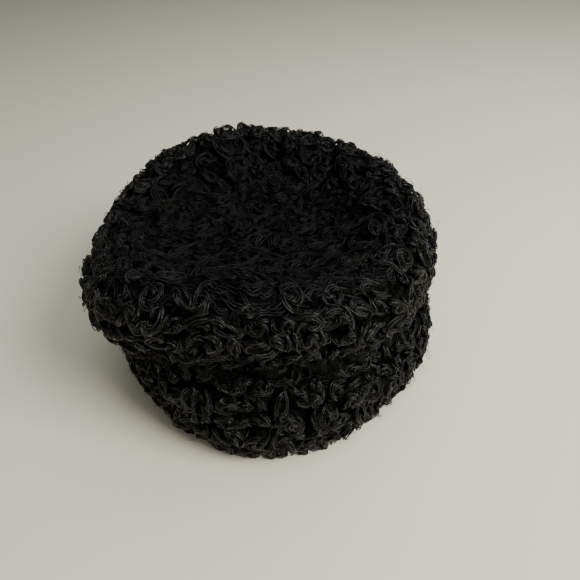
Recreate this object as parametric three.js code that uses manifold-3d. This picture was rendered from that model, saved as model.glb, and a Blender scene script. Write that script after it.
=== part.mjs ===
// Hat of black curly lamb fur: a soft round crown with a sunken top, rolled out over an upright band.
// Millimetres, +Z up. The hat stands on its hem with its front towards -Y, and the origin is on the
// floor under the middle of its outline. Each panel is one pelt: a hide with its dense underwool, and
// the curled locks of fur that grow out of it, fused to it. The panels are worked out round and upright,
// as they were sewn, and then settled into the slumped form of a soft hat.
import * as THREE from "three";
import { mergeVertices } from "three/addons/utils/BufferGeometryUtils.js";
import Module from "manifold-3d";

// Sizes of the pelt and its locks
const peltThickness = 12; // hide and dense underwool together
const rootDepth = 6; // how deep a lock sits in the underwool
const curlRise = 6; // how far the locks of the side and the band stand out of the underwool
const mattedRise = 4; // the same for the flattened locks of the top
const curlWidth = 13;
const curlRadius = 6.5; // of the arc that a lock bends along
const curlSweep = THREE.MathUtils.degToRad(200);
const mattedRadius = 26;
const mattedSweep = THREE.MathUtils.degToRad(75);
const curlPitch = 25; // from one lock to the next, along a row and between rows
const mattedPitch = 34;

// Sizes of the band
const headOpeningRadius = 92; // a head of 58 cm
const bandHeight = 62;
const bandBulge = 5.5; // how far the band swells between its hem and the crease

// Sizes of the crown
const crownOverhang = 13; // of the crown's outline past the hem's
const rollHalfWidth = 24; // of the rolled edge, over the fur
const rollHalfHeight = 27;
const rollRise = 33; // from the crease to the middle of the rolled edge
const dishDepth = 27; // from the crest of the roll to the middle of the top

// How the soft hat has settled
const crownLean = new THREE.Vector2(-6.8, 14.2); // of the crown over the band, to the left and back
const sideSag = 9.7; // how far the sides of the crown hang below its average, and front and back above

// Clearances and fineness
const seamGap = 0.3; // between two panels
const sectors = 28;
const lockSides = 4;
const lockRings = 3;
const lockSpread = 0.2; // how far a lock strays from its place, as a share of the pitch
const lockVariety = 0.16; // how much one lock is larger or smaller than the next

// What follows from those sizes
const hemRadius = headOpeningRadius + peltThickness;
const crestRadius = hemRadius + curlRise + crownOverhang - rollHalfWidth;
const rollHeight = bandHeight + rollRise;
const rollCore = new THREE.Vector2(rollHalfWidth - curlRise, rollHalfHeight - curlRise);
const reach = 2 * (crestRadius + rollHalfWidth); // farther out than any fur

// The outline of the band's pelt, from hem to crease: height as a share of the band's, and swell as a
// share of its bulge.
const bandSections = [
  { at: 0, swell: 0 },
  { at: 0.17, swell: 0.72 },
  { at: 0.42, swell: 1 },
  { at: 0.72, swell: 0.8 },
  { at: 1, swell: 0.2 },
];
// The sections of the roll, by their turn in degrees round its middle: 0 points outwards, 90 up.
const rollSections = [-82, -52, -24, 4, 32, 60, 90, 118];
// The sunken top, from the roll inwards: radius as a share of the crest's, and depth under the crest as
// a share of the dish's.
const dishSections = [
  { at: 0.82, deep: 0.27 },
  { at: 0.68, deep: 0.6 },
  { at: 0.5, deep: 0.84 },
  { at: 0.27, deep: 0.96 },
  { at: 0, deep: 1 },
];
// How uneven the outlines are from above: waves round the rim, as shares of the radius.
const bandWaves = [
  { turns: 2, cos: 0.025, sin: -0.008 },
  { turns: 3, cos: 0.008, sin: 0.009 },
  { turns: 4, cos: 0.023, sin: -0.007 },
];
const crownWaves = [
  { turns: 2, cos: -0.005, sin: 0.002 },
  { turns: 3, cos: 0.01, sin: -0.011 },
  { turns: 4, cos: -0.005, sin: 0 },
  { turns: 5, cos: 0.003, sin: 0.007 },
];
// How the crown's height goes up and down round the rim, as shares of the sag.
const crownDips = [
  { turns: 2, cos: -1, sin: 0.18 },
  { turns: 3, cos: 0.36, sin: 0.24 },
];

const wasm = await Module();
wasm.setup();

// Repeatable chance: a stream of numbers from -1 to 1.
function chance(seed) {
  let state = seed;
  return () => {
    state = (Math.imul(state, 1664525) + 1013904223) >>> 0;
    return state / 2 ** 31 - 1;
  };
}

// The sum of a table's waves at an angle round the rim.
function ripple(table, angle) {
  return table.reduce(
    (sum, { turns, cos, sin }) => sum + cos * Math.cos(turns * angle) + sin * Math.sin(turns * angle),
    0,
  );
}

// Takes a point of the hat as sewn to where it has settled. The hem stays flat on the floor, the crown
// leans over the band, and its sides sag.
function settle(point) {
  const angle = Math.atan2(point.y, point.x);
  const crownShare = THREE.MathUtils.smoothstep(point.z, bandHeight / 3, rollHeight);
  const outShare = Math.min(Math.hypot(point.x, point.y) / headOpeningRadius, 1) ** 2;
  const sagShare = THREE.MathUtils.smoothstep(point.z, 0, bandHeight) * outShare;
  const wave = THREE.MathUtils.lerp(
    ripple(bandWaves, angle),
    ripple(crownWaves, angle),
    crownShare,
  );
  point.x += point.x * wave + crownLean.x * crownShare;
  point.y += point.y * wave + crownLean.y * crownShare;
  point.z += sideSag * ripple(crownDips, angle) * sagShare;
  return point;
}

// A closed three.js geometry, settled, as a solid that can be joined and cut.
function solidOf(geometry) {
  const bare = new THREE.BufferGeometry();
  bare.setAttribute("position", geometry.getAttribute("position").clone());
  bare.setIndex(geometry.index);
  const position = bare.getAttribute("position");
  const point = new THREE.Vector3();
  for (let i = 0; i < position.count; i += 1) {
    settle(point.fromBufferAttribute(position, i));
    position.setXYZ(i, point.x, point.y, point.z);
  }
  const merged = mergeVertices(bare, 1e-3);
  const vertProperties = merged.getAttribute("position").array;
  const triVerts = new Uint32Array(merged.index.array);
  return new wasm.Manifold(new wasm.Mesh({ numProp: 3, vertProperties, triVerts }));
}

// A body turned round the hat's axis from a closed section of points, each a radius and a height.
function turned(section) {
  return solidOf(new THREE.LatheGeometry([...section, section[0]], sectors).rotateX(Math.PI / 2));
}

function at(radius, height) {
  return new THREE.Vector2(radius, height);
}

// The direction out of the pelt at one point of its outline: level at an open end, upright at the axis.
function outward(outline, index) {
  if (outline[index].x === 0) return at(0, 1);
  if (index === 0 || index === outline.length - 1) return at(1, 0);
  const along = outline[index + 1].clone().sub(outline[index - 1]).normalize();
  return at(along.y, -along.x);
}

// The points of an outline, moved inwards by the pelt's thickness.
function liningOf(outline) {
  return outline.map((point, index) =>
    point.clone().addScaledVector(outward(outline, index), -peltThickness),
  );
}

// One lock: a crescent that tapers to both ends, flat on the pelt and sunk in it by its root.
function lock({ foot, out, turn, size, lift, rise, radius, sweep }) {
  const crescent = new THREE.SphereGeometry(1, lockSides, lockRings);
  const position = crescent.getAttribute("position");
  const halfDepth = (rise + rootDepth) / 2;
  for (let i = 0; i < position.count; i += 1) {
    const along = position.getY(i);
    const arm = size * (radius + (position.getZ(i) * curlWidth) / 2);
    const bend = (along * sweep) / 2;
    const height = halfDepth * (1 - position.getX(i) + lift * along) - rootDepth;
    position.setXYZ(i, arm * Math.cos(bend) - size * radius, arm * Math.sin(bend), height);
  }
  const upright = new THREE.Vector3(0, 0, 1);
  crescent.rotateZ(turn);
  crescent.applyQuaternion(new THREE.Quaternion().setFromUnitVectors(upright, out));
  crescent.translate(foot.x, foot.y, foot.z);
  return solidOf(crescent);
}

// The locks of one panel, in staggered rows over its outline from its first point to its last.
function fur(outline, { seed, pitch, rise, radius, sweep, grain }) {
  const draw = chance(seed);
  const path = new THREE.SplineCurve(outline);
  const rows = Math.max(Math.round(path.getLength() / pitch), 1);
  const locks = [];
  for (let row = 0; row < rows; row += 1) {
    const middle = path.getPointAt((row + 0.5) / rows);
    const count = Math.max(Math.round((2 * Math.PI * middle.x) / pitch), 1);
    for (let place = 0; place < count; place += 1) {
      const share = (row + 0.5 + lockSpread * draw()) / rows;
      const point = path.getPointAt(share);
      const along = path.getTangentAt(share);
      const angle = ((place + (row % 2) / 2 + lockSpread * draw()) * 2 * Math.PI) / count;
      const round = (v) => new THREE.Vector3(v.x * Math.cos(angle), v.x * Math.sin(angle), v.y);
      locks.push(
        lock({
          foot: round(point),
          out: round(at(along.y, -along.x)),
          turn: grain * Math.PI * draw(),
          size: 1 + lockVariety * draw(),
          lift: lockVariety * draw(),
          rise,
          radius,
          sweep,
        }),
      );
    }
  }
  return locks.reduce((all, one) => all.add(one));
}

// The outlines, from the hem up to the middle of the top. The band's pelt and the crown's run a little
// past the crease, where they are trimmed to meet.
const bandOutline = bandSections.map((section) =>
  at(hemRadius + section.swell * bandBulge, section.at * bandHeight),
);
const creaseRadius = bandOutline.at(-1).x;
bandOutline.push(at(creaseRadius, bandHeight + peltThickness));
const rollOutline = rollSections.map((degrees) => {
  const turn = THREE.MathUtils.degToRad(degrees);
  return at(crestRadius + rollCore.x * Math.cos(turn), rollHeight + rollCore.y * Math.sin(turn));
});
const dishOutline = dishSections.map((section) =>
  at(section.at * crestRadius, rollHeight + rollCore.y - section.deep * dishDepth),
);
const neck = at(creaseRadius, bandHeight - peltThickness);
const crownOutline = [neck, ...rollOutline, ...dishOutline];
const crownLining = liningOf(crownOutline);
const crownPelt = turned([...crownOutline, ...crownLining.toReversed()]);
const bandPelt = turned([...bandOutline, ...liningOf(bandOutline).toReversed()]);
const seam = rollOutline.length; // where the crown's side ends and its top begins

// The space round the band up to a height.
function bandSpace(height) {
  const inner = headOpeningRadius - peltThickness;
  return turned([at(inner, 0), at(reach, 0), at(reach, height), at(inner, height)]);
}

// The space over and under the sunken top, inside the seam that runs round the crest.
function topSpace(aside) {
  const beyondFur = crownOutline[seam].clone().addScaledVector(outward(crownOutline, seam), 3 * curlRise);
  const edge = [crownLining[seam], beyondFur].map((point) => at(point.x - aside, point.y));
  const below = at(headOpeningRadius / 2, bandHeight);
  return turned([at(0, bandHeight), below, ...edge, at(0, beyondFur.y)]);
}

// One panel as a named mesh, without the tips of locks that a seam cuts loose.
function panel(name, trimmed, { color, roughness }) {
  const solid = trimmed.decompose().reduce((most, piece) => (piece.volume() > most.volume() ? piece : most));
  const { vertProperties, triVerts } = solid.getMesh();
  const geometry = new THREE.BufferGeometry();
  geometry.setAttribute("position", new THREE.BufferAttribute(vertProperties, 3));
  geometry.setIndex(new THREE.BufferAttribute(triVerts, 1));
  geometry.computeVertexNormals();
  const material = new THREE.MeshStandardMaterial({ color, roughness, metalness: 0, flatShading: true });
  const mesh = new THREE.Mesh(geometry, material);
  mesh.name = name;
  return mesh;
}

const blackCurls = { color: 0x121113, roughness: 0.42 };
const mattedHair = { color: 0x0c0b0d, roughness: 0.6 };
const curled = {
  pitch: curlPitch,
  rise: curlRise,
  radius: curlRadius,
  sweep: curlSweep,
  grain: 1,
};
const matted = {
  pitch: mattedPitch,
  rise: mattedRise,
  radius: mattedRadius,
  sweep: mattedSweep,
  grain: 0.25,
};

const band = bandPelt
  .add(fur(bandOutline.slice(0, -1), { seed: 3, ...curled }))
  .intersect(bandSpace(bandHeight));
const crownSide = crownPelt
  .add(fur([at(creaseRadius, bandHeight), ...rollOutline], { seed: 5, ...curled }))
  .subtract(bandSpace(bandHeight + seamGap))
  .subtract(topSpace(0));
const crownTop = crownPelt
  .add(fur(crownOutline.slice(seam), { seed: 8, ...matted }))
  .intersect(topSpace(seamGap));

const hat = new THREE.Group();
hat.add(
  panel("band", band, blackCurls),
  panel("crown_side", crownSide, blackCurls),
  panel("crown_top", crownTop, mattedHair),
);

// The origin moves to the floor under the middle of the outline.
const middle = new THREE.Box3().setFromObject(hat, true).getCenter(new THREE.Vector3());
hat.position.set(-middle.x, -middle.y, 0);

export default hat;
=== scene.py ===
# Hat of black curly lamb fur on a pale floor, built round the frame's three panels. Each panel gets a
# wool body that replaces its solid, and curls of hair that grow out of it.
import math

import bpy
import numpy as np
from bpy.props import FloatProperty, FloatVectorProperty, IntProperty, PointerProperty
from mathutils import Matrix, Vector
from mathutils.kdtree import KDTree


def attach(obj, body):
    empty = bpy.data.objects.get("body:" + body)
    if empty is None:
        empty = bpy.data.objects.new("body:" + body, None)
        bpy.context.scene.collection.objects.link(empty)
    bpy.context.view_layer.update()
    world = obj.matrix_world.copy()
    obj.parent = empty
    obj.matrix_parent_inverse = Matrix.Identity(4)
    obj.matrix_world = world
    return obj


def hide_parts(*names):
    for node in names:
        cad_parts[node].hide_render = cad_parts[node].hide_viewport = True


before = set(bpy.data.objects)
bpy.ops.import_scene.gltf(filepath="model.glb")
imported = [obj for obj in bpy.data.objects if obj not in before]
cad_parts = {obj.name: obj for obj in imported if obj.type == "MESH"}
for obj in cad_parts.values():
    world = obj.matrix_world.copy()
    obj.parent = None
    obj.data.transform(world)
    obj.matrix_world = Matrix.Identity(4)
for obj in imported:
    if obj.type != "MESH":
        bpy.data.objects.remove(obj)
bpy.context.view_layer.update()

bl_info = {
    "name": "Curly fur hat",
    "version": (1, 0, 0),
    "blender": (4, 5, 0),
    "location": "View3D > Sidebar > Fur hat",
    "description": "Makes a hat of black lamb fur with its curls, floor, lights and camera",
    "category": "Add Mesh",
}

MM = 0.001
FULL_TURN = 2 * math.pi

# The panels' sections, as shares of the sizes in the form settings.
BAND_SECTIONS = (  # share of the height, share of the bulge
    (0.0, 0.0),
    (0.17, 0.72),
    (0.42, 1.0),
    (0.72, 0.8),
    (1.0, 0.2),
)
ROLL_TURNS = (-82, -52, -24, 4, 32, 60, 90, 118)  # degrees round the roll: 0 outwards, 90 up
DISH_SECTIONS = (  # share of the crest's radius, share of the dish's depth
    (0.82, 0.27),
    (0.68, 0.6),
    (0.5, 0.84),
    (0.27, 0.96),
    (0.0, 1.0),
)
# Waves round the rim: turns, cosine, sine, as shares of the radius or of the sag.
BAND_WAVES = ((2, 0.025, -0.008), (3, 0.008, 0.009), (4, 0.023, -0.007))
CROWN_WAVES = ((2, -0.005, 0.002), (3, 0.01, -0.011), (4, -0.005, 0.0), (5, 0.003, 0.007))
CROWN_DIPS = ((2, -1.0, 0.18), (3, 0.36, 0.24))

# Fineness
BODY_STEP = 3.0 * MM  # between the rings of a wool body
LOCK_POINTS = 7
MATTED_POINTS = 7
STRAY_POINTS = 10
STRAND_SIDES = 3
STRAND_FLATNESS = 0.6
STRAND_SHIFT = 0.37  # from one strand's grain to the next's
SKIN_STEP = 0.004  # share of an outline, over which its direction is measured
FLOOR_GAP = 0.15 * MM

# Tufts. Each pair is a range that is drawn from evenly.
PLACE_STRAY = 0.36  # of a lock or hair from its place in the row, as a share of the pitch
TUFT_STRAY = 0.3  # the same for a tuft
TUFT_LEAN = 0.32  # each way, as a slope
TUFT_STRETCH = (1.0, 1.5)
TUFT_RADIUS = (0.5, 0.74)  # as a share of the pitch
TUFT_HEIGHT = (3.4, 6.8)  # millimetres
NEAR_TUFTS = 4  # that can reach over one place
PRESSED_LOSS = (0.4, 1.05)  # a tuft that is pressed more than this goes
TOP_LENGTH = 1.5  # of the tufts of the top, as a share of the others'
DOME_SHARE = 0.86  # of a tuft's height, that its underwool fills
DOME_REACH = 1.13  # of its locks, as a share of its radius

# Underwool between and under the tufts
WALL_LOSS = 2 * MM  # of the pelt's thickness, made up by the domes
WOOL_SINK = 0.8 * MM
WOOL_UNEVEN = 0.9 * MM
WOOL_LUMPS = (3.4 * MM, 5.3 * MM)
WOOL_SHADE_FADE = 7 * MM  # height of a dome over which the wool's painted shade fades to its lighter colour
WOOL_WIND = 4 * MM  # how far its grain runs in a radian round a tuft
WOOL_SPIRAL = 0.8 * MM  # how far it draws in meanwhile
WOOL_SHIFT = 0.01  # from one tuft's grain to the next's

# Locks that wind round a tuft: lengths in millimetres, and the rest as shares of the tuft's radius.
LOCK_SWEEP = (70, 235)  # degrees
BACKWARDS = 0.2  # share of the locks that wind the other way
LOCK_START = (0.65, 1.15)
LOCK_END = (0.05, 0.55)
LOCK_SPREAD = (0.35, 1.0)  # of its strands, as a share of the lock's radius
LOCK_TWIST = 1.3  # radians
LOCK_ARCH = (0.1, 1.0)
LOCK_RISE = (0.85, 1.12)  # as a share of the tuft's height
LOCK_LIFT = 0.3
ROOT_DEPTH = 1.2
RISE_CRIMP = (0.1, 0.5)
SIDE_CRIMP = (0.1, 0.7)
LOCK_WIDTH = (0.6, 1.3)  # of a strand, as a share of its radius

# Flattened locks, in millimetres
TOP_FLOW = (0.92, 0.38, 0.0)  # direction that the matted hair of the top runs in
FLOW_LUMPS = (20, 17)  # distances over which it turns
MATTED_LENGTH = (8, 17)
MATTED_WAVE = (0.5, 1.9)
MATTED_HOOK = 7  # the most that an end bends aside
MATTED_REST = (0.1, 1.7)
MATTED_SINK = 0.5
MATTED_SPREAD = (0.4, 1.3)  # as LOCK_SPREAD
MATTED_CRIMP = (0.1, 0.5)
MATTED_WIDTH = (0.5, 1.05)  # as LOCK_WIDTH
EDGE_DROP = 0.5  # how steeply hair laid past the skin's edge hangs

# Single hairs that loop out of the curls, in millimetres
STRAY_PITCH = 19
STRAY_LOOP = (2.5, 5.5)
STRAY_SWEEP = (3.0, 6.5)  # radians
STRAY_REACH = (6, 11)
STRAY_DRIFT = (-3, 3)
STRAY_START = 2
STRAY_WIDTH = (0.2, 0.36)  # as LOCK_WIDTH

# A flattened lock is kept where a draw from this range is less than the cover there.
CREASE_KEEP = (0.7, 0.92)
CREST_KEEP = (0.02, 0.6)
TOP_KEEP = (0.1, 0.7)

# Which stream of chance each job draws from
STREAMS = {
    "band_tufts": 0,
    "side_tufts": 1,
    "top_tufts": 2,
    "band": 3,
    "crown_side": 4,
    "crown_top": 5,
    "stray_hairs": 3,
}

# Smooth unevenness: the direction and the phase of each wave, and what their sum is divided by.
LUMP_WAVES = (
    (1.0, 0.35, -0.2, 0.3),
    (-0.4, 1.0, 0.3, 1.9),
    (0.25, -0.3, 1.0, 4.1),
    (0.8, 0.75, 0.5, 2.6),
    (-0.7, 0.6, -0.9, 5.3),
)
LUMP_PEAK = 3.2

# Finishes
HAIR_STRETCH = (400.0, 3200.0, 3200.0)  # hair grain: along a strand, and across it
WOOL_STRETCH = (260.0, 1400.0, 300.0)
GRAIN_RELIEF = 0.3 * MM
WOOL_RELIEF = 0.9 * MM
PATCH_SCALE = 330.0  # of the glossy patches, to the metre
PATCH_RANGE = {"From Min": 0.35, "From Max": 0.68, "To Min": -0.3, "To Max": 0.5}
PATCH_RELIEF = 3.0  # over the fine grain's
GRAIN_GLOSS = 0.4
GLOSS_RANGE = {"From Min": 0.1, "From Max": 1.0}
HIDE_SCALE = 300.0  # of the hide's grain, to the metre
HIDE_SHADE = 0.6  # brightness of its darker grain
HIDE_TONE = 0.3  # stands in for the lightness that each point of the hair has
# What the group of grain nodes takes and gives
GRAIN_INPUTS = (
    ("Place", "NodeSocketVector"),
    ("Tone", "NodeSocketFloat"),
    ("Scale", "NodeSocketFloat"),
    ("Stretch", "NodeSocketVector"),
    ("Dark", "NodeSocketColor"),
    ("Light", "NodeSocketColor"),
    ("Smooth", "NodeSocketFloat"),
    ("Rough", "NodeSocketFloat"),
)
GRAIN_OUTPUTS = (
    ("Colour", "NodeSocketColor"),
    ("Roughness", "NodeSocketFloat"),
    ("Height", "NodeSocketFloat"),
)

# Stage
FLOOR_SIZE = 8
FLOOR_ROUGHNESS = 0.55
CLOUD_SCALE = 3.0  # of the floor's clouds, to the metre
CLOUD_SHADE = 0.94  # brightness of the darker ones
LIGHT_TARGET = (0, 0, 0.06)
LIGHTS = (  # name, place, size, power, colour
    ("window", (0.95, -0.55, 0.95), 0.7, 30.0, (1.0, 0.98, 0.93)),
    ("ceiling", (0.35, 0.1, 1.6), 1.4, 12.0, (0.97, 0.98, 1.0)),
)
ROOM_COLOUR = (0.9, 0.9, 0.86, 1.0)
ROOM_LIGHT = 0.25

# The photograph's camera: lens in millimetres, tip and roll in degrees, and where it stands over the
# middle of the head opening.
PHOTO_LENS = 27.06
PHOTO_TIP = 42.4
PHOTO_ROLL = 3.57
PHOTO_EYE = (12.95 * MM, -246.9 * MM, 273.0 * MM)


def length_property(name, description, millimetres):
    """A setting for a length."""
    return FloatProperty(
        name=name, description=description, default=millimetres * MM, unit="LENGTH"
    )


def shift_property(name, description, right, back):
    """A setting for a shift along the floor, in millimetres."""
    return FloatVectorProperty(
        name=name, description=description, size=2, default=(right * MM, back * MM), unit="LENGTH"
    )


def colour_property(name, description, red, green, blue):
    """A setting for a colour."""
    return FloatVectorProperty(
        name=name, description=description, subtype="COLOR", size=4, default=(red, green, blue, 1.0)
    )


class HatForm(bpy.types.PropertyGroup):
    """The sizes of the hat's pelt, which are the solids' own."""

    head_radius: length_property("Head radius", "Radius of the head opening", 92)
    pelt: length_property("Pelt", "Thickness of hide and underwool", 12)
    curl_rise: length_property("Curl rise", "How far curls stand out", 6)
    band_height: length_property("Band height", "From hem to crease", 62)
    band_bulge: length_property("Band bulge", "Swell of the band", 5.5)
    overhang: length_property("Overhang", "Crown past the hem", 13)
    roll_half_width: length_property("Roll half width", "Over the fur", 24)
    roll_half_height: length_property("Roll half height", "Over the fur", 27)
    roll_rise: length_property("Roll rise", "Crease to the roll's middle", 33)
    dish_depth: length_property("Dish depth", "Crest to the middle of the top", 27)
    side_sag: length_property("Side sag", "How far the sides hang", 9.7)
    lean: shift_property("Lean", "The crown's shift over the band", -6.8, 14.2)
    middle: shift_property("Middle", "Where the middle of the head opening lies", 3.56, -11.94)


class HatFur(bpy.types.PropertyGroup):
    """The sizes and the number of the curls."""

    tuft_pitch: length_property("Tuft pitch", "From one curled tuft to the next", 10.9)
    top_pitch: length_property("Top pitch", "Between the flat tufts of the top", 13.5)
    matted_pitch: length_property("Matted pitch", "Between matted locks", 7.0)
    lock_radius: length_property("Lock radius", "Half the width of a lock", 1.35)
    strand_radius: length_property("Strand radius", "Of one strand of hairs", 0.62)
    locks: IntProperty(name="Locks", description="In one tuft", default=6, min=1)
    strands: IntProperty(name="Strands", description="In one lock", default=4, min=1)
    matted_strands: IntProperty(
        name="Matted strands", description="In one matted lock", default=5, min=1
    )
    seed: IntProperty(name="Seed", description="Of the curls' chance", default=7)


class HatColours(bpy.types.PropertyGroup):
    """The colours of the hat and its floor."""

    # The hair's two colours. In the curls the darker one also stands for painted shade low in each tuft.
    hair_dark: colour_property("Hair, dark", "Root of a curl", 0.0012, 0.0012, 0.0012)
    hair_light: colour_property("Hair, light", "Tip of a curl", 0.0055, 0.0054, 0.005)
    # The underwool's two colours are painted shade: the deep one darkens the wool between the curls, and
    # the high one lightens the tops of the tufts.
    wool_painted_shade: colour_property("Underwool, deep", "Deep between the curls", 0.0005, 0.0005, 0.0005)
    wool_light: colour_property("Underwool, high", "On top of a tuft", 0.0085, 0.0083, 0.0078)
    hide: colour_property("Hide", "Dyed inner side", 0.03, 0.026, 0.024)
    floor: colour_property("Floor", "Pale surface", 0.74, 0.715, 0.56)


def settings():
    return bpy.context.scene.fur_hat_form


def fur_settings():
    return bpy.context.scene.fur_hat_fur


def colour_settings():
    return bpy.context.scene.fur_hat_colours


def chance(job):
    """The repeatable stream of chance of one job."""
    return np.random.default_rng(fur_settings().seed + STREAMS[job])


def smoothstep(value, low, high):
    """A soft step from 0 at the low value to 1 at the high one."""
    share = np.clip((value - low) / (high - low), 0, 1)
    return share * share * (3 - 2 * share)


def ripple(table, angle):
    """The sum of a table's waves at an angle round the hat."""
    return sum(c * np.cos(turns * angle) + s * np.sin(turns * angle) for turns, c, s in table)


def settle(points):
    """Takes points of the hat as sewn, round and upright, to where the soft hat has settled."""
    form = settings()
    x, y, z = points[..., 0], points[..., 1], points[..., 2]
    roll_height = form.band_height + form.roll_rise
    angle = np.arctan2(y, x)
    crown_share = smoothstep(z, form.band_height / 3, roll_height)
    out_share = np.minimum(np.hypot(x, y) / form.head_radius, 1) ** 2
    sag_share = smoothstep(z, 0, form.band_height) * out_share
    wave = ripple(BAND_WAVES, angle) * (1 - crown_share) + ripple(CROWN_WAVES, angle) * crown_share
    return np.stack(
        (
            x * (1 + wave) + form.lean[0] * crown_share + form.middle[0],
            y * (1 + wave) + form.lean[1] * crown_share + form.middle[1],
            z + form.side_sag * ripple(CROWN_DIPS, angle) * sag_share,
        ),
        -1,
    )


def spline(corners, count=240):
    """Even steps along a smooth curve through the corners, each a radius and a height."""
    corners = np.array(corners, float)
    ends = np.vstack((2 * corners[0] - corners[1], corners, 2 * corners[-1] - corners[-2]))
    fine = []
    for i in range(len(corners) - 1):
        a, b, c, d = ends[i : i + 4]
        t = np.linspace(0, 1, 40, endpoint=False)[:, None]
        fine.append(
            b + 0.5 * t * (c - a + t * (2 * a - 5 * b + 4 * c - d + t * (3 * (b - c) + d - a)))
        )
    fine = np.vstack((*fine, corners[-1:]))
    length = np.concatenate(([0], np.cumsum(np.hypot(*np.diff(fine, axis=0).T))))
    even = np.linspace(0, length[-1], count)
    return np.stack((np.interp(even, length, fine[:, 0]), np.interp(even, length, fine[:, 1])), -1)


class Skin:
    """The outer side of one panel's pelt, addressed by a share of its outline and an angle."""

    def __init__(self, corners):
        self.path = spline(corners)
        self.length = float(np.hypot(*np.diff(self.path, axis=0).T).sum())
        along = np.gradient(self.path, axis=0)
        along /= np.linalg.norm(along, axis=1, keepdims=True)
        self.out = np.stack((along[:, 1], -along[:, 0]), -1)
        self.shares = np.linspace(0, 1, len(self.path))

    def radius(self, share):
        return np.interp(share, self.shares, self.path[:, 0])

    def point(self, share, angle, lift=0.0):
        share = np.clip(share, 0, 1)
        r = self.radius(share) + lift * np.interp(share, self.shares, self.out[:, 0])
        z = np.interp(share, self.shares, self.path[:, 1])
        z = z + lift * np.interp(share, self.shares, self.out[:, 1])
        return settle(np.stack((r * np.cos(angle), r * np.sin(angle), z), -1))

    def lay(self, x, y, height):
        """Points at a height over the skin, straight above or below places seen from above."""
        form = settings()
        x = x - form.lean[0] - form.middle[0]
        y = y - form.lean[1] - form.middle[1]
        angle = np.arctan2(y, x)
        radius = np.hypot(x, y) / (1 + ripple(CROWN_WAVES, angle))
        order = np.argsort(self.path[:, 0])
        share = np.interp(radius, self.path[order, 0], self.shares[order])
        over = np.maximum(radius - self.path[:, 0].max(), 0)
        return self.point(share, angle, height - EDGE_DROP * over)

    def frame_at(self, share, angle):
        """Foot, direction along the outline, direction round it, and direction out."""
        share = np.clip(share, SKIN_STEP, 1 - SKIN_STEP)
        foot = self.point(share, angle)
        along = unit(self.point(share + SKIN_STEP, angle) - self.point(share - SKIN_STEP, angle))
        out = unit(self.point(share, angle, MM) - foot)
        around = unit(np.cross(out, along))
        out = unit(np.cross(along, around))
        return foot, along, around, out


def unit(vectors):
    return vectors / np.maximum(np.linalg.norm(vectors, axis=-1, keepdims=True), 1e-12)


def band_corners():
    form = settings()
    hem = form.head_radius + form.pelt
    return [(hem + swell * form.band_bulge, at * form.band_height) for at, swell in BAND_SECTIONS]


def roll_corners():
    form = settings()
    crest = crest_radius()
    core = (form.roll_half_width - form.curl_rise, form.roll_half_height - form.curl_rise)
    middle = form.band_height + form.roll_rise
    turns = [math.radians(turn) for turn in ROLL_TURNS]
    return [(crest + core[0] * math.cos(t), middle + core[1] * math.sin(t)) for t in turns]


def crest_radius():
    """Radius of the circle along the top of the roll."""
    form = settings()
    return form.head_radius + form.pelt + form.curl_rise + form.overhang - form.roll_half_width


def dish_corners():
    form = settings()
    top = form.band_height + form.roll_rise + form.roll_half_height - form.curl_rise
    return [(at * crest_radius(), top - deep * form.dish_depth) for at, deep in DISH_SECTIONS]


def side_corners():
    crease = band_corners()[-1]
    return [crease, *roll_corners()]


def top_corners():
    return [roll_corners()[-1], *dish_corners()]


def mesh_piece(name, points, faces, material, tone, grain):
    """A mesh from arrays: points (n, 3), and faces (m, 4) or (m, 3) given as one list of arrays."""
    mesh = bpy.data.meshes.new(name)
    mesh.vertices.add(len(points))
    mesh.vertices.foreach_set("co", points.astype(np.float32).ravel())
    corners = np.concatenate([part.ravel() for part in faces])
    sizes = np.concatenate([np.full(len(part), part.shape[1]) for part in faces])
    mesh.loops.add(len(corners))
    mesh.loops.foreach_set("vertex_index", corners.astype(np.int32))
    mesh.polygons.add(len(sizes))
    mesh.polygons.foreach_set(
        "loop_start", np.concatenate(([0], np.cumsum(sizes)[:-1])).astype(np.int32)
    )
    mesh.polygons.foreach_set("use_smooth", np.ones(len(sizes), bool))
    mesh.update(calc_edges=True)
    mesh.validate()
    write_layers(mesh, tone, grain)
    piece = bpy.data.objects.new(name, mesh)
    bpy.context.scene.collection.objects.link(piece)
    mesh.materials.append(material)
    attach(piece, "root")


def write_layers(mesh, tone, grain):
    """The lightness, which in the wool and the curls holds painted shade deep in the fur, and the place
    in the hair's grain, which the finishes read from each point.
    """
    layer = mesh.attributes.new("tone", "FLOAT", "POINT")
    layer.data.foreach_set("value", tone.astype(np.float32))
    layer = mesh.attributes.new("grain", "FLOAT_VECTOR", "POINT")
    layer.data.foreach_set("vector", grain.astype(np.float32).ravel())


def strand_mesh(name, lines, radius, tone, up, material, slot):
    """Closed, tapered, flattened tubes along lines, as one mesh."""
    points, faces, tones, grain = strands(lines, radius, tone, up)
    mesh_piece(name, points, faces, material, tones, grain)


def taper(shares):
    """A strand's width along it, as a share of its radius: thin at the root, and to a point."""
    return np.clip(1.25 * np.sin(np.pi * (0.2 + 0.78 * shares)) ** 0.7, 0.12, 1)


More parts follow.
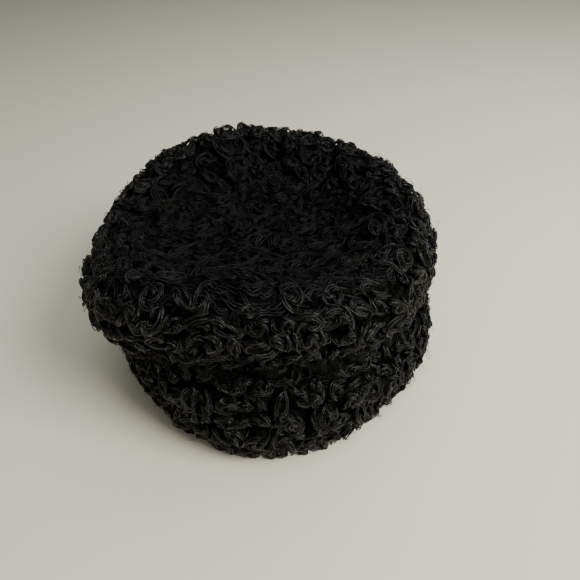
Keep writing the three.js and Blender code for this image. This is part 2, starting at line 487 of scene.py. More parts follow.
def strands(lines, radius, tone, up):
    """Points, faces, tone and grain coordinates of the tubes."""
    sides = STRAND_SIDES
    count, steps, _ = lines.shape
    along = unit(np.gradient(lines, axis=1))
    side = unit(np.cross(along, up))
    other = np.cross(along, side) * STRAND_FLATNESS
    width = radius[:, None] * taper(np.linspace(0, 1, steps))
    corner = np.arange(sides) * FULL_TURN / sides
    ring = side[:, :, None] * np.cos(corner)[None, None, :, None]
    ring = ring + other[:, :, None] * np.sin(corner)[None, None, :, None]
    rings = lines[:, :-1, None] + ring[:, :-1] * width[:, :-1, None, None]
    per = sides * (steps - 1) + 1
    points = np.concatenate((rings.reshape(count, -1, 3), lines[:, -1:]), 1)
    points[..., 2] = np.maximum(points[..., 2], FLOOR_GAP)
    j = np.arange(sides)
    k = (j + 1) % sides
    level = sides * np.arange(steps - 2)[:, None]
    quads = np.stack((level + j, level + k, level + sides + k, level + sides + j), -1).reshape(-1, 4)
    last = sides * (steps - 2)
    tips = np.stack((last + j, last + k, np.full(sides, per - 1)), -1)
    root = np.arange(sides)[::-1][None, :]
    starts = (np.arange(count) * per)[:, None, None]
    faces = [(part + starts).reshape(-1, part.shape[1]) for part in (quads, tips, root)]
    tones = np.concatenate((np.repeat(tone[:, :-1], sides, axis=1), tone[:, -1:]), 1)
    run = np.cumsum(np.linalg.norm(np.diff(lines, axis=1, prepend=lines[:, :1]), axis=-1), 1)
    run = run + STRAND_SHIFT * np.arange(count)[:, None]
    grain = np.zeros((count, per, 3))
    grain[:, :-1, 0] = np.repeat(run[:, :-1], sides, axis=1)
    grain[:, -1, 0] = run[:, -1]
    grain[:, :-1, 1] = (width[:, :-1, None] * np.cos(corner)).reshape(count, -1)
    grain[:, :-1, 2] = (width[:, :-1, None] * np.sin(corner)).reshape(count, -1)
    return points.reshape(-1, 3), faces, tones.ravel(), grain.reshape(-1, 3)


def scatter(skin, pitch, draw, stray=PLACE_STRAY):
    """Places over a skin: shares of its outline and angles, in staggered rows."""
    rows = max(round(skin.length / pitch), 1)
    shares, angles = [], []
    for row in range(rows):
        share = (row + 0.5) / rows
        count = max(round(FULL_TURN * float(skin.radius(share)) / pitch), 1)
        place = np.arange(count) + 0.5 * (row % 2) + stray * draw.uniform(-1, 1, count)
        shares.append(share + stray * draw.uniform(-1, 1, count) / rows)
        angles.append(place * FULL_TURN / count)
    return np.concatenate(shares), np.concatenate(angles) % FULL_TURN


def lumps(points, size):
    """A smooth unevenness over space, from about -1 to 1, with lumps of the given size."""
    total = sum(np.sin((points @ np.array(w[:3])) * math.pi / size + w[3]) for w in LUMP_WAVES)
    return total / LUMP_PEAK


class Tufts:
    """The places, sizes and windings of one panel's tufts, each a low dome that the hair winds round."""

    def __init__(self, skin, pitch, draw, press, short):
        shares, angles = scatter(skin, pitch, draw, TUFT_STRAY)
        n = len(shares)
        self.skin = skin
        self.angles = angles
        self.press = press(shares, angles)
        self.short = short(shares, angles)
        self.foot, along, around, out = skin.frame_at(shares, angles)
        heading = draw.uniform(0, FULL_TURN, n)[:, None]
        lying = along * np.cos(heading) + around * np.sin(heading)
        lean = draw.uniform(-TUFT_LEAN, TUFT_LEAN, (n, 2)) * (1 - 0.9 * self.press)[:, None]
        self.axis = unit(out + lean[:, :1] * along + lean[:, 1:] * around)
        self.first = unit(lying - self.axis * (lying * self.axis).sum(-1, keepdims=True))
        self.second = np.cross(self.axis, self.first)
        self.stretch = draw.uniform(*TUFT_STRETCH, n)
        self.radius = pitch * draw.uniform(*TUFT_RADIUS, n) * np.minimum(0.6 + 0.4 * self.short, 1)
        self.height = draw.uniform(*TUFT_HEIGHT, n) * MM * self.short * (1 - 0.62 * self.press)
        self.turn = draw.choice([-1.0, 1.0], n)
        self.tree = KDTree(n)
        for number, place in enumerate(self.foot):
            self.tree.insert(place, number)
        self.tree.balance()

    def over(self, points):
        """Height of the domes over points of the skin, and the place in the hair's grain there."""
        near = [[found[1] for found in self.tree.find_n(point, NEAR_TUFTS)] for point in points]
        near = np.array(near)
        local = points[:, None] - self.foot[near]
        ahead = (local * self.first[near]).sum(-1) / self.stretch[near]
        aside = (local * self.second[near]).sum(-1) * self.stretch[near]
        reach = np.hypot(ahead, aside)
        dome = np.sqrt(np.clip(1 - (reach / self.radius[near]) ** 2, 0, 1)) * self.height[near]
        best = dome.argmax(-1)
        rows = np.arange(len(points))
        bearing = np.arctan2(aside, ahead)[rows, best] * self.turn[near[rows, best]]
        reach = reach[rows, best]
        inwards = reach - bearing * WOOL_SPIRAL
        grain = np.stack((bearing * WOOL_WIND, inwards, near[rows, best] * WOOL_SHIFT), -1)
        return dome[rows, best], grain

    def locks(self, own, draw):
        """The strands of the chosen tufts' locks: lines, radius, tone and the way up."""
        fur = fur_settings()
        n, m, k = len(own), fur.locks, fur.strands
        t = np.linspace(0, 1, LOCK_POINTS)

        def each(values):
            return values[own][:, None, None, None]

        def vector(values):
            return values[own][:, None, None, None, :]

        def some(low, high, shape=(n, m, 1, 1)):
            return draw.uniform(low, high, shape)

        def crimp(size, waves, phase):
            height = some(*size) * MM
            return height * np.sin(t * some(*waves) + some(0, phase, (n, m, k, 1)))

        begin = (np.arange(m)[None, :, None, None] + some(-0.4, 0.4)) * FULL_TURN / m
        begin = begin + some(0, FULL_TURN, (n, 1, 1, 1))
        sweep = np.radians(some(*LOCK_SWEEP)) * each(self.turn)
        sweep = sweep * draw.choice([1.0, -1.0], (n, m, 1, 1), p=(1 - BACKWARDS, BACKWARDS))
        jitter = some(-1, 1, (n, m, k, 1))
        phase = some(0, FULL_TURN) + np.arange(k)[None, None, :, None] * FULL_TURN / k
        spread = some(*LOCK_SPREAD, (n, m, k, 1)) * fur.lock_radius
        spread = spread * (0.45 + 0.8 * np.sin(np.pi * np.clip(t * 0.85 + 0.06, 0, 1)) ** 0.8)
        twist = phase + each(self.turn) * LOCK_TWIST * t
        rim = each(self.radius) * some(*LOCK_START)
        core = each(self.radius) * some(*LOCK_END)
        reach = rim + (core - rim) * t**1.15
        dome = np.sqrt(np.clip(1 - (reach / (DOME_REACH * each(self.radius))) ** 2, 0, 1))
        arch = some(*LOCK_ARCH) * MM * np.sin(np.pi * t) * (1 - 0.6 * each(self.press))
        level = each(self.height) * dome * some(*LOCK_RISE) + arch + LOCK_LIFT * MM
        level = level * smoothstep(t, -0.15, 0.25)
        level = level - ROOT_DEPTH * MM * (1 - smoothstep(t, -0.05, 0.2))
        level = level + spread * 0.75 * np.sin(twist)
        level = level + crimp(RISE_CRIMP, (5, 9), 2.5)
        reach = reach + spread * np.cos(twist)
        reach = reach + crimp(SIDE_CRIMP, (5, 10), 1.2)
        angle = begin + sweep * (t * (1 + 0.12 * jitter)) + 0.05 * jitter
        outward = vector(self.first) * np.cos(angle)[..., None]
        aside = vector(self.second) * np.sin(angle)[..., None]
        lines = (
            vector(self.foot)
            + outward * (reach * each(self.stretch))[..., None]
            + aside * (reach / each(self.stretch))[..., None]
            + vector(self.axis) * level[..., None]
        )
        tilt = (0.8 * reach / each(self.radius))[..., None]
        up = vector(self.axis) + tilt * (outward + aside)
        width = fur.strand_radius * draw.uniform(*LOCK_WIDTH, (n, m, k))
        # Lighter high on the tuft's dome, which is painted shade low in the fur; also lighter toward the
        # tip, darker where pressed flat, and varied at random per strand.
        tone = 0.05 + 0.4 * dome + 0.2 * t + 0.22 * jitter - 0.5 * each(self.press)
        return (
            lines.reshape(-1, LOCK_POINTS, 3),
            width.reshape(-1),
            np.clip(tone, 0, 1).reshape(-1, LOCK_POINTS),
            up.reshape(-1, LOCK_POINTS, 3),
        )


def dome_height(tufts, points):
    """How high the wool stands over points of the skin."""
    heights, _ = tufts.over(points.reshape(-1, 3))
    return DOME_SHARE * heights.reshape(points.shape[:-1])


def matted_locks(tufts, shares, angles, draw, over_pole):
    """Strands of flattened locks that lie along the pelt, as those of Tufts.locks.

    Over the pole of the sunken top they are laid as seen from above, and elsewhere along the rim.
    """
    fur = fur_settings()
    skin = tufts.skin
    n, k = len(shares), fur.matted_strands
    foot, _, _, out = skin.frame_at(shares, angles)
    t = np.linspace(0, 1, MATTED_POINTS)[None, None, :]

    def some(low, high, count=1):
        return draw.uniform(low, high, (n, count, 1))

    length = some(*MATTED_LENGTH) * MM
    ripples = some(3, 8)
    wave = some(*MATTED_WAVE) * MM * np.sin(t * ripples + some(0, 6))
    hook = some(-1, 1) * MATTED_HOOK * MM * t**2.2
    rest = some(*MATTED_REST) * MM
    phase = some(0, FULL_TURN) + np.arange(k)[None, :, None] * FULL_TURN / k
    spread = some(*MATTED_SPREAD, k) * fur.lock_radius
    lock = spread * (0.4 + 0.8 * np.sin(np.pi * np.clip(t * 0.92 + 0.05, 0, 1)))
    sideways = wave + hook + lock * 1.3 * np.cos(phase + 2 * t)
    lengthways = length * (t - 0.5)
    height = rest * np.sin(np.pi * np.clip(t * 0.94 + 0.03, 0, 1)) ** 0.6 - MATTED_SINK * MM
    height = height + lock * 0.5 * np.sin(phase + 2 * t)
    crimp = some(*MATTED_CRIMP, k) * MM
    height = height + crimp * np.sin(t * some(6, 11, k) + phase)
    sideways = sideways + crimp * np.sin(t * some(6, 11, k) - phase)
    across, along = (size * MM for size in FLOW_LUMPS)
    drift = np.stack((lumps(foot, across), lumps(foot[:, ::-1], along), np.zeros(n)), -1)
    if over_pole:
        flow = (np.array(TOP_FLOW) + drift) * draw.choice([-1.0, 1.0], (n, 1))
        flow = unit(flow - out * (flow * out).sum(-1, keepdims=True))
        cross = np.cross(out, flow)
        places = foot[:, None, None] + flow[:, None, None] * lengthways[..., None]
        places = places + cross[:, None, None] * sideways[..., None]
        domes = dome_height(tufts, skin.lay(places[..., 0], places[..., 1], 0.0))
        lines = skin.lay(places[..., 0], places[..., 1], height + domes)
    else:
        turned = (0.5 * drift[:, 0] + 0.25 * draw.uniform(-1, 1, n))[:, None, None]
        forth = lengthways * np.cos(turned) - sideways * np.sin(turned)
        aside = lengthways * np.sin(turned) + sideways * np.cos(turned)
        girth = skin.radius(shares)[:, None, None]
        aside = shares[:, None, None] + aside / skin.length
        forth = angles[:, None, None] + forth / girth
        domes = dome_height(tufts, skin.point(aside, forth))
        lines = skin.point(aside, forth, height + domes)
    width = fur.strand_radius * draw.uniform(*MATTED_WIDTH, (n, k))
    tone = 0.14 + 0.2 * t + 0.14 * some(-1, 1, k)
    up = np.broadcast_to(out[:, None, None], lines.shape)
    return (
        lines.reshape(-1, MATTED_POINTS, 3),
        width.reshape(-1),
        np.clip(tone, 0, 1).reshape(-1, MATTED_POINTS),
        up.reshape(-1, MATTED_POINTS, 3),
    )


def stray_hairs(skin, shares, angles, draw):
    """Single fine hairs that loop out of the curls, as those of Tufts.locks."""
    n = len(shares)
    foot, along, around, out = skin.frame_at(shares, angles)
    heading = draw.uniform(0, FULL_TURN, (n, 1))
    lying = along * np.cos(heading) + around * np.sin(heading)
    t = np.linspace(0, 1, STRAY_POINTS)[None, :]
    size = draw.uniform(*STRAY_LOOP, (n, 1)) * MM
    sweep = draw.uniform(*STRAY_SWEEP, (n, 1))
    reach = draw.uniform(*STRAY_REACH, (n, 1)) * MM
    up = reach * np.sin(np.pi * t * 0.62) + size * 0.6 * np.sin(sweep * t)
    sideways = size * (1 - np.cos(sweep * t)) - STRAY_START * MM
    across = draw.uniform(*STRAY_DRIFT, (n, 1)) * MM * t
    third = np.cross(out, lying)
    lines = (
        foot[:, None]
        + out[:, None] * up[..., None]
        + lying[:, None] * sideways[..., None]
        + third[:, None] * across[..., None]
    )
    width = fur_settings().strand_radius * draw.uniform(*STRAY_WIDTH, n)
    tone = np.broadcast_to(0.4 + 0.5 * t, (n, STRAY_POINTS))
    return lines, width, tone, np.broadcast_to(third[:, None], lines.shape)


def grain_group():
    """Fine hair grain over a colour range, used by every finish of the hat."""
    if "hair_grain" in bpy.data.node_groups:
        return bpy.data.node_groups["hair_grain"]
    group = bpy.data.node_groups.new("hair_grain", "ShaderNodeTree")
    face = group.interface
    for name, kind in GRAIN_INPUTS:
        face.new_socket(name, in_out="INPUT", socket_type=kind)
    for name, kind in GRAIN_OUTPUTS:
        face.new_socket(name, in_out="OUTPUT", socket_type=kind)
    nodes, links = group.nodes, group.links
    given = nodes.new("NodeGroupInput")
    result = nodes.new("NodeGroupOutput")
    place = nodes.new("ShaderNodeTexCoord")
    stretch = nodes.new("ShaderNodeVectorMath")
    stretch.operation = "MULTIPLY"
    links.new(given.outputs["Place"], stretch.inputs[0])
    links.new(given.outputs["Stretch"], stretch.inputs[1])
    fine = nodes.new("ShaderNodeTexNoise")
    fine.inputs["Detail"].default_value = 3.0
    links.new(stretch.outputs[0], fine.inputs["Vector"])
    links.new(given.outputs["Scale"], fine.inputs["Scale"])
    patches = nodes.new("ShaderNodeTexNoise")
    patches.inputs["Scale"].default_value = PATCH_SCALE
    patches.inputs["Detail"].default_value = 2.0
    links.new(place.outputs["Object"], patches.inputs["Vector"])
    contrast = nodes.new("ShaderNodeMapRange")
    links.new(patches.outputs["Fac"], contrast.inputs["Value"])
    for name, value in PATCH_RANGE.items():
        contrast.inputs[name].default_value = value
    spread = nodes.new("ShaderNodeMath")
    spread.operation = "ADD"
    links.new(contrast.outputs["Result"], spread.inputs[0])
    links.new(given.outputs["Tone"], spread.inputs[1])
    shade = nodes.new("ShaderNodeMath")
    shade.operation = "MULTIPLY"
    shade.use_clamp = True
    links.new(spread.outputs[0], shade.inputs[0])
    links.new(fine.outputs["Fac"], shade.inputs[1])
    mix = nodes.new("ShaderNodeMix")
    mix.data_type = "RGBA"
    links.new(shade.outputs[0], mix.inputs["Factor"])
    links.new(given.outputs["Dark"], mix.inputs["A"])
    links.new(given.outputs["Light"], mix.inputs["B"])
    gloss = nodes.new("ShaderNodeMath")
    gloss.operation = "MULTIPLY_ADD"
    links.new(fine.outputs["Fac"], gloss.inputs[0])
    gloss.inputs[1].default_value = GRAIN_GLOSS
    links.new(spread.outputs[0], gloss.inputs[2])
    rough = nodes.new("ShaderNodeMapRange")
    links.new(gloss.outputs[0], rough.inputs["Value"])
    for name, value in GLOSS_RANGE.items():
        rough.inputs[name].default_value = value
    links.new(given.outputs["Rough"], rough.inputs["To Min"])
    links.new(given.outputs["Smooth"], rough.inputs["To Max"])
    links.new(mix.outputs["Result"], result.inputs["Colour"])
    links.new(rough.outputs["Result"], result.inputs["Roughness"])
    height = nodes.new("ShaderNodeMath")
    height.operation = "MULTIPLY_ADD"
    links.new(patches.outputs["Fac"], height.inputs[0])
    height.inputs[1].default_value = PATCH_RELIEF
    links.new(fine.outputs["Fac"], height.inputs[2])
    links.new(height.outputs[0], result.inputs["Height"])
    return group


def finish(name, colours, roughness, specular, depth, stretch, scale=1.0, bump=0.8, on_hair=True):
    """A finish of the hat: grain between two colours, with roughness and bump that match it."""
    dark, light = colours
    smooth, rough = roughness
    if name in bpy.data.materials:
        return bpy.data.materials[name]
    material = bpy.data.materials.new(name)
    material.use_nodes = True
    nodes, links = material.node_tree.nodes, material.node_tree.links
    shader = nodes["Principled BSDF"]
    shader.inputs["Specular IOR Level"].default_value = specular
    grain = nodes.new("ShaderNodeGroup")
    grain.node_tree = grain_group()
    grain.inputs["Scale"].default_value = scale
    grain.inputs["Stretch"].default_value = stretch
    grain.inputs["Dark"].default_value = dark
    grain.inputs["Light"].default_value = light
    grain.inputs["Smooth"].default_value = smooth
    grain.inputs["Rough"].default_value = rough
    grain.inputs["Tone"].default_value = HIDE_TONE
    if on_hair:
        tone = nodes.new("ShaderNodeAttribute")
        tone.attribute_name = "tone"
        links.new(tone.outputs["Fac"], grain.inputs["Tone"])
        place = nodes.new("ShaderNodeAttribute")
        place.attribute_name = "grain"
        links.new(place.outputs["Vector"], grain.inputs["Place"])
    else:
        place = nodes.new("ShaderNodeTexCoord")
        links.new(place.outputs["Object"], grain.inputs["Place"])
    relief = nodes.new("ShaderNodeBump")
    relief.inputs["Strength"].default_value = bump
    relief.inputs["Distance"].default_value = depth
    links.new(grain.outputs["Height"], relief.inputs["Height"])
    links.new(grain.outputs["Colour"], shader.inputs["Base Color"])
    links.new(grain.outputs["Roughness"], shader.inputs["Roughness"])
    links.new(relief.outputs["Normal"], shader.inputs["Normal"])
    return material


def hair_colours():
    return colour_settings().hair_dark, colour_settings().hair_light


def curl_finish():
    return finish(
        "glossy_curls", hair_colours(), roughness=(0.3, 0.62), specular=0.32,
        depth=GRAIN_RELIEF, stretch=HAIR_STRETCH,
    )


def matted_finish():
    return finish(
        "matted_hair", hair_colours(), roughness=(0.42, 0.7), specular=0.2,
        depth=GRAIN_RELIEF, stretch=HAIR_STRETCH,
    )


def wool_finish():
    wool = (colour_settings().wool_painted_shade, colour_settings().wool_light)
    return finish(
        "underwool", wool, roughness=(0.5, 0.9), specular=0.05,
        depth=WOOL_RELIEF, stretch=WOOL_STRETCH, bump=1.0,
    )


def hide_finish():
    hide = colour_settings().hide
    darker = (*(HIDE_SHADE * value for value in hide[:3]), 1.0)
    return finish(
        "dyed_hide", (darker, hide), roughness=(0.75, 0.95), specular=0.3,
        depth=GRAIN_RELIEF, stretch=(1, 1, 1), scale=HIDE_SCALE, bump=0.3, on_hair=False,
    )


def draw_rings(path, closes):
    """Draws a surface up through the rings of a path, in edit mode, from its first ring."""
    sectors = round(FULL_TURN * float(path[:, 0].mean() if closes else path[:, 0].max()) / BODY_STEP)
    bpy.ops.object.select_all(action="DESELECT")
    bpy.ops.mesh.primitive_circle_add(
        vertices=sectors, radius=path[0, 0], location=(0, 0, path[0, 1])
    )
    bpy.ops.object.mode_set(mode="EDIT")
    bpy.ops.mesh.select_all(action="SELECT")
    before = path[0]
    for ring in path[1:-1] if closes else path[1:]:
        bpy.ops.mesh.extrude_edges_move(
            TRANSFORM_OT_translate={"value": (0, 0, ring[1] - before[1])}
        )
        grow = ring[0] / before[0]
        bpy.ops.transform.resize(value=(grow, grow, 1), center_override=(0, 0, ring[1]))
        before = ring
    if closes:
        bpy.ops.mesh.extrude_edges_move(
            TRANSFORM_OT_translate={"value": (0, 0, path[-1, 1] - before[1])}
        )
        bpy.ops.mesh.merge(type="CENTER")
    bpy.ops.mesh.select_all(action="SELECT")
    bpy.ops.mesh.normals_make_consistent(inside=False)
    bpy.ops.object.mode_set(mode="OBJECT")
    bpy.ops.object.transform_apply(location=True, rotation=True, scale=True)
    return bpy.context.object


def face_outwards(mesh, closes):
    """Turns the active surface's faces over where they look into the hat."""
    first = mesh.polygons[0]
    outward = Vector((0, 0, 1)) if closes else Vector((first.center.x, first.center.y, 0))
    if outward.dot(first.normal) < 0:
        bpy.ops.object.mode_set(mode="EDIT")
        bpy.ops.mesh.select_all(action="SELECT")
        bpy.ops.mesh.flip_normals()
        bpy.ops.object.mode_set(mode="OBJECT")


def wool_body(name, node, corners, tufts):
    """One panel's hide and underwool: drawn up through its sections, settled and given its wall."""
    path = spline(corners, round(Skin(corners).length / BODY_STEP) + 1)
    closes = path[-1, 0] < MM
    piece = draw_rings(path, closes)
    piece.name = name
    mesh = piece.data
    mesh.name = name
    face_outwards(mesh, closes)
    mesh.vertices.foreach_set("co", settle(read_vectors(mesh.vertices, "co")).ravel())
    mesh.update()
    wall = piece.modifiers.new("wall", "SOLIDIFY")
    wall.thickness = settings().pelt - WALL_LOSS
    wall.offset = -1
    wall.material_offset = 1
    wall.material_offset_rim = 2
    mesh.materials.append(wool_finish())
    mesh.materials.append(hide_finish())
    mesh.materials.append(wool_finish())
    bpy.ops.object.modifier_apply(modifier="wall")
    raise_tufts(mesh, tufts)
    bpy.ops.object.shade_smooth()
    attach(piece, "root")
    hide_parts(node)


def read_vectors(items, name):
    """One vector of each item of a mesh, as an array of rows."""
    values = np.empty(len(items) * 3)
    items.foreach_get(name, values)
    return values.reshape(-1, 3)


def raise_tufts(mesh, tufts):
    """Divides the woolly side of the active body, raises the domes of the tufts on it and paints the
    wool's shade: darkest deep between the domes, lighter on their tops.
    """
    woolly = np.empty(len(mesh.polygons), np.int32)
    mesh.polygons.foreach_get("material_index", woolly)
    bpy.ops.object.mode_set(mode="EDIT")
    bpy.ops.mesh.select_mode(type="FACE")
    bpy.ops.mesh.select_all(action="DESELECT")
    bpy.ops.object.mode_set(mode="OBJECT")
    mesh.polygons.foreach_set("select", woolly == 0)
    bpy.ops.object.mode_set(mode="EDIT")
    bpy.ops.mesh.subdivide(number_cuts=1)
    bpy.ops.object.mode_set(mode="OBJECT")
    outer = np.zeros(len(mesh.vertices), bool)
    for face in mesh.polygons:
        if face.material_index == 0:
            outer[list(face.vertices)] = True
    points = read_vectors(mesh.vertices, "co")
    normals = read_vectors(mesh.vertex_normals, "vector")

    chosen = np.flatnonzero(outer)
    height = np.full(len(chosen), -1.0)
    grain = np.zeros((len(points), 3))
    for group in tufts:
        dome, hair = group.over(points[chosen])
        higher = dome > height
        height[higher] = dome[higher]
        grain[chosen[higher]] = hair[higher]
    fine, coarse = WOOL_LUMPS
    rough = 0.5 * lumps(points[chosen], fine) + 0.5 * lumps(points[chosen][:, ::-1], coarse)
    lift = DOME_SHARE * height - WOOL_SINK + WOOL_UNEVEN * rough
    points[chosen] += normals[chosen] * lift[:, None]
    points[:, 2] = np.maximum(points[:, 2], 0)
    mesh.vertices.foreach_set("co", points.ravel())
    # Painted shade: the wool darkens deep between the tufts and lightens with the height of their domes.
    tone = np.zeros(len(points))
    tone[chosen] = np.clip(height / WOOL_SHADE_FADE - 0.1, 0, 1)
    write_layers(mesh, tone, grain)
    mesh.update()


def tuft_pieces(name, tufts, material, slot, draw, parts):
    """The locks of one panel's tufts, in a few pieces that share out the rim."""
    order = np.argsort(tufts.angles, kind="stable")
    order = order[draw.uniform(*PRESSED_LOSS, len(order)) > tufts.press[order]]
    for part, own in enumerate(np.array_split(order, parts)):
        strand_mesh(f"{name}_{part + 1}", *tufts.locks(own, draw), material, slot)


def matted_piece(name, tufts, cover, keep, slot, draw, over_pole=False):
    """Flattened locks over the part of one panel that the cover function picks."""
    shares, angles = scatter(tufts.skin, fur_settings().matted_pitch, draw)
    kept = draw.uniform(*keep, len(shares)) < cover(shares, angles)
    locks = matted_locks(tufts, shares[kept], angles[kept], draw, over_pole)
    strand_mesh(name, *locks, matted_finish(), slot)


def band_press(share, angle):
    """The band's curls all stand."""
    return np.zeros(len(share))


def band_short(share, angle):
    """The band's curls are shorter at the hem and in the crease."""
    return (0.6 + 0.4 * smoothstep(share, 0, 0.3)) * (1 - 0.66 * smoothstep(share, 0.75, 0.95))


def roll_press(share, angle):
    """The crest's curls lie flatter, most of all in front."""
    front = 0.5 - 0.5 * np.sin(angle)
    return smoothstep(share, 0.8 - 0.2 * front, 1.05 - 0.2 * front) * (0.35 + 0.65 * front)


def crease_cover(share, angle):
    """Flattened locks lie along the band's upper edge."""
    return share


def roll_short(share, angle):
    """The roll's curls are shorter in the crease."""
    return 0.25 + 0.75 * smoothstep(share, 0.02, 0.2)


def top_press(share, angle):
    """Curls cover the top's rim, farther in at the back, and its middle is matted."""
    back = 0.5 + 0.5 * np.sin(angle)
    return 0.35 + 0.65 * smoothstep(share, 0.25 * back - 0.1, 0.25 + 0.3 * back)


def top_short(share, angle):
    """The top's hair is longer than the rest."""
    return np.full(len(share), TOP_LENGTH)


def band_tufts():
    skin = Skin(band_corners())
    return Tufts(skin, fur_settings().tuft_pitch, chance("band_tufts"), band_press, band_short)


def side_tufts():
    skin = Skin(side_corners())
    return Tufts(skin, fur_settings().tuft_pitch, chance("side_tufts"), roll_press, roll_short)


def top_tufts():
    skin = Skin(top_corners())
    return Tufts(skin, fur_settings().top_pitch, chance("top_tufts"), top_press, top_short)


class FURHAT_OT_band(bpy.types.Operator):
    """Make the band's wool body and its curls"""

    bl_idname = "furhat.band"
    bl_label = "Band"

    def execute(self, context):
        tufts = band_tufts()
        draw = chance("band")
        wool_body("band_wool", "band", band_corners(), [tufts])
        tuft_pieces("band_curls", tufts, curl_finish(), "curled_fur", draw, parts=2)
        matted_piece("band_crease", tufts, crease_cover, CREASE_KEEP, "curled_fur", draw)
        return {"FINISHED"}


class FURHAT_OT_crown_side(bpy.types.Operator):
    """Make the rolled side of the crown and its curls"""

    bl_idname = "furhat.crown_side"
    bl_label = "Crown side"

    def execute(self, context):
        tufts = side_tufts()
        draw = chance("crown_side")
        wool_body(
            "crown_side_wool", "crown_side", side_corners(), [tufts, top_tufts()]
        )
        tuft_pieces("crown_side_curls", tufts, curl_finish(), "curled_fur", draw, parts=3)
        matted_piece("crown_side_crest", tufts, roll_press, CREST_KEEP, "curled_fur", draw)
        return {"FINISHED"}


class FURHAT_OT_crown_top(bpy.types.Operator):
    """Make the sunken top with its flat tufts and matted locks"""

    bl_idname = "furhat.crown_top"
    bl_label = "Crown top"

    def execute(self, context):
        tufts = top_tufts()
        draw = chance("crown_top")
        wool_body("crown_top_wool", "crown_top", top_corners(), [side_tufts(), tufts])
        tuft_pieces("crown_top_curls", tufts, matted_finish(), "matted_fur", draw, parts=1)
        matted_piece("crown_top_locks", tufts, top_press, TOP_KEEP, "matted_fur", draw, over_pole=True)
        return {"FINISHED"}


class FURHAT_OT_stray_hairs(bpy.types.Operator):
    """Add the fine hairs that stand out of the curls"""

    bl_idname = "furhat.stray_hairs"
    bl_label = "Stray hairs"

    def execute(self, context):
        draw = chance("stray_hairs")
        for panel, corners in (("band", band_corners()), ("crown", side_corners())):
            skin = Skin(corners)
            shares, angles = scatter(skin, STRAY_PITCH * MM, draw)
            hairs = stray_hairs(skin, shares, angles, draw)
            strand_mesh(f"{panel}_stray_hairs", *hairs, curl_finish(), "curled_fur")
        return {"FINISHED"}


class FURHAT_OT_stage(bpy.types.Operator):
    """Make the floor, the soft lights and the camera"""

    bl_idname = "furhat.stage"
    bl_label = "Stage"

    def execute(self, context):
        make_floor()
        make_lights()
        make_camera()
        return {"FINISHED"}


def make_floor():
    bpy.ops.object.select_all(action="DESELECT")
    bpy.ops.mesh.primitive_plane_add(size=FLOOR_SIZE)
    floor = bpy.context.object
    floor.name = "floor"
    material = bpy.data.materials.new("pale_floor")
    material.use_nodes = True
    nodes, links = material.node_tree.nodes, material.node_tree.links
    shader = nodes["Principled BSDF"]
    shader.inputs["Roughness"].default_value = FLOOR_ROUGHNESS
    place = nodes.new("ShaderNodeTexCoord")
    clouds = nodes.new("ShaderNodeTexNoise")
    clouds.inputs["Scale"].default_value = CLOUD_SCALE
    links.new(place.outputs["Object"], clouds.inputs["Vector"])
    mix = nodes.new("ShaderNodeMix")
    mix.data_type = "RGBA"
    pale = colour_settings().floor
    mix.inputs["A"].default_value = pale
    mix.inputs["B"].default_value = (*(CLOUD_SHADE * value for value in pale[:3]), 1.0)
    links.new(clouds.outputs["Fac"], mix.inputs["Factor"])
    links.new(mix.outputs["Result"], shader.inputs["Base Color"])
    floor.data.materials.append(material)


def area_light(name, place, size, power, tint):
    light = bpy.data.lights.new(name, "AREA")
    light.shape = "DISK"
    light.size = size
    light.energy = power
    light.color = tint
    lamp = bpy.data.objects.new(name, light)
    bpy.context.scene.collection.objects.link(lamp)
    lamp.location = place
    ray = Vector(LIGHT_TARGET) - Vector(place)
    lamp.rotation_euler = ray.to_track_quat("-Z", "Y").to_euler()


def make_lights():
    """A wide window at the right, the ceiling's glow and the room's own light."""
    for light in LIGHTS:
        area_light(*light)
    world = bpy.data.worlds.new("room_light")
    bpy.context.scene.world = world
    world.use_nodes = True
    background = world.node_tree.nodes["Background"]
    background.inputs["Color"].default_value = ROOM_COLOUR
    background.inputs["Strength"].default_value = ROOM_LIGHT


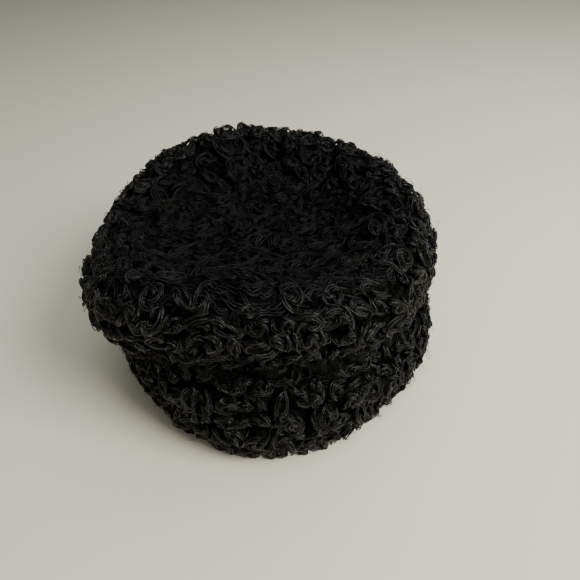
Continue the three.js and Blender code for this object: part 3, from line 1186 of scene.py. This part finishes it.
def make_camera():
    """The photograph's own view: from in front and above, a little rolled."""
    middle = settings().middle
    camera = bpy.data.cameras.new("camera")
    camera.lens = PHOTO_LENS
    camera.sensor_width = 36.0
    camera.clip_start = 0.01
    eye = bpy.data.objects.new("camera", camera)
    bpy.context.scene.collection.objects.link(eye)
    tip, roll = math.radians(PHOTO_TIP), math.radians(PHOTO_ROLL)
    forward = Vector((0, math.cos(tip), -math.sin(tip)))
    level = Vector((1, 0, 0))
    down = forward.cross(level)
    right = level * math.cos(roll) + down * math.sin(roll)
    up = right.cross(forward)
    eye.matrix_world = Matrix.Translation(
        Vector((PHOTO_EYE[0] + middle[0], PHOTO_EYE[1] + middle[1], PHOTO_EYE[2]))
    ) @ Matrix((right, up, -forward)).transposed().to_4x4()
    bpy.context.scene.camera = eye


class FURHAT_PT_panel(bpy.types.Panel):
    """Sidebar panel with the hat's settings and the steps that make it"""

    bl_label = "Fur hat"
    bl_space_type = "VIEW_3D"
    bl_region_type = "UI"
    bl_category = "Fur hat"

    def draw(self, context):
        for group in (settings(), fur_settings(), colour_settings()):
            box = self.layout.box()
            for name in group.__annotations__:
                box.prop(group, name)
        for step in STEPS:
            self.layout.operator(step.bl_idname)


STEPS = (
    FURHAT_OT_stage,
    FURHAT_OT_band,
    FURHAT_OT_crown_side,
    FURHAT_OT_crown_top,
    FURHAT_OT_stray_hairs,
)
CLASSES = (HatForm, HatFur, HatColours, *STEPS, FURHAT_PT_panel)


def register():
    for cls in CLASSES:
        bpy.utils.register_class(cls)
    bpy.types.Scene.fur_hat_form = PointerProperty(type=HatForm)
    bpy.types.Scene.fur_hat_fur = PointerProperty(type=HatFur)
    bpy.types.Scene.fur_hat_colours = PointerProperty(type=HatColours)


def unregister():
    del bpy.types.Scene.fur_hat_colours
    del bpy.types.Scene.fur_hat_fur
    del bpy.types.Scene.fur_hat_form
    for cls in reversed(CLASSES):
        bpy.utils.unregister_class(cls)


def main():
    register()
    bpy.ops.furhat.stage()
    bpy.ops.furhat.band()
    bpy.ops.furhat.crown_side()
    bpy.ops.furhat.crown_top()
    bpy.ops.furhat.stray_hairs()


if __name__ == "__main__":
    main()
